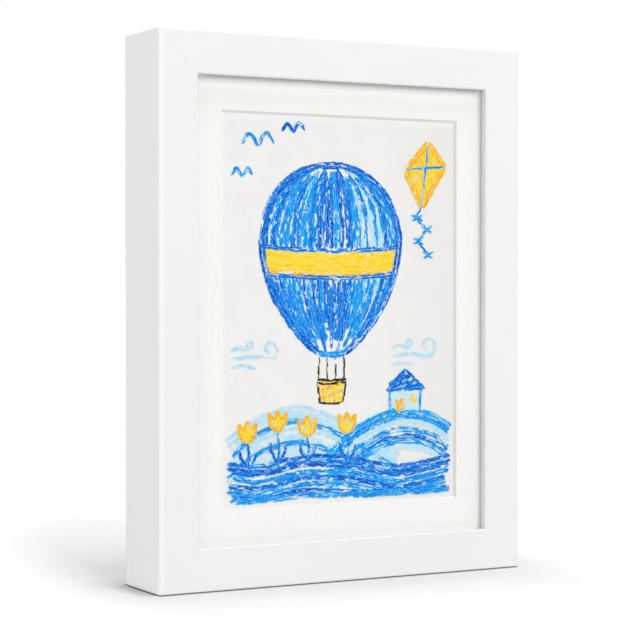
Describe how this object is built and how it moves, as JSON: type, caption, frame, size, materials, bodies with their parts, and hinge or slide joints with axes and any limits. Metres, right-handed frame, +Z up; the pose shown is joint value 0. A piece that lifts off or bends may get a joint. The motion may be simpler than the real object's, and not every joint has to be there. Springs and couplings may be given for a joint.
{
  "type": "picture frame",
  "caption": "Deep white box frame for a child's drawing, with clear pane and bevelled window mat, loaded from behind and closed by turn buttons; stands or hangs.",
  "frame": {"origin": "under the middle of the part's box, on the surface that the frame stands on", "axes": "+Z up; the picture faces -Y; +X is to the right of a person who looks at the picture"},
  "size_m": [0.21, 0.0444, 0.275],
  "materials": {
    "white_lacquered_wood": "satin white lacquer",
    "nail_steel": "plain steel strip",
    "clear_acrylic": "clear, polished",
    "mat_board": "off white, fine tooth, whiter core",
    "drawing_paper": "matt cartridge paper",
    "paper_tape": "matt gummed paper",
    "grey_card": "matt grey board",
    "spacer_fibreboard": "sanded fibreboard",
    "back_hardboard": "smooth brown hardboard",
    "button_steel": "zinc plated, pressed",
    "screw_steel": "zinc plated",
    "fibre_washer": "red vulcanised fibre",
    "hanger_steel": "zinc plated, pressed",
    "rivet_aluminium": "plain",
    "soft_bumper": "soft clear polyurethane, frosted"
  },
  "bodies": {
    "root": {"frame_stile_left": "white_lacquered_wood", "frame_stile_right": "white_lacquered_wood", "frame_rail_top": "white_lacquered_wood", "frame_rail_bottom": "white_lacquered_wood", "corner_v_nails": "nail_steel", "glazing_pane": "clear_acrylic", "mat_board": "mat_board", "drawing_sheet": "drawing_paper", "drawing_tape_tabs": "paper_tape", "backing_card": "grey_card", "spacer_left": "spacer_fibreboard", "spacer_right": "spacer_fibreboard", "spacer_top": "spacer_fibreboard", "spacer_bottom": "spacer_fibreboard", "back_panel": "back_hardboard", "turn_button_screws": "screw_steel", "turn_button_washers": "fibre_washer", "sawtooth_hanger_top": "hanger_steel", "sawtooth_hanger_side": "hanger_steel", "hanger_rivets": "rivet_aluminium", "wall_bumper_top_left": "soft_bumper", "wall_bumper_top_right": "soft_bumper", "wall_bumper_bottom_left": "soft_bumper", "wall_bumper_bottom_right": "soft_bumper"},
    "turn_button_left_upper": {"turn_button_left_upper": "button_steel"},
    "turn_button_left_lower": {"turn_button_left_lower": "button_steel"},
    "turn_button_right_upper": {"turn_button_right_upper": "button_steel"},
    "turn_button_right_lower": {"turn_button_right_lower": "button_steel"},
    "turn_button_top": {"turn_button_top": "button_steel"},
    "turn_button_bottom": {"turn_button_bottom": "button_steel"}
  },
  "joints": [
    {"name": "turn_left_upper_pivot", "type": "hinge", "parent": "root", "child": "turn_button_left_upper", "pos_m": [-0.09735, 0.01935, 0.20625], "axis": [0, 1, 0], "range_deg": [-90, 90]},
    {"name": "turn_left_lower_pivot", "type": "hinge", "parent": "root", "child": "turn_button_left_lower", "pos_m": [-0.09735, 0.01935, 0.06875], "axis": [0, 1, 0], "range_deg": [-90, 90]},
    {"name": "turn_right_upper_pivot", "type": "hinge", "parent": "root", "child": "turn_button_right_upper", "pos_m": [0.09735, 0.01935, 0.20625], "axis": [0, 1, 0], "range_deg": [-90, 90]},
    {"name": "turn_right_lower_pivot", "type": "hinge", "parent": "root", "child": "turn_button_right_lower", "pos_m": [0.09735, 0.01935, 0.06875], "axis": [0, 1, 0], "range_deg": [-90, 90]},
    {"name": "turn_top_pivot", "type": "hinge", "parent": "root", "child": "turn_button_top", "pos_m": [0, 0.01935, 0.26735], "axis": [0, 1, 0], "range_deg": [-90, 90]},
    {"name": "turn_bottom_pivot", "type": "hinge", "parent": "root", "child": "turn_button_bottom", "pos_m": [0, 0.01935, 0.00765], "axis": [0, 1, 0], "range_deg": [-90, 90]}
  ]
}
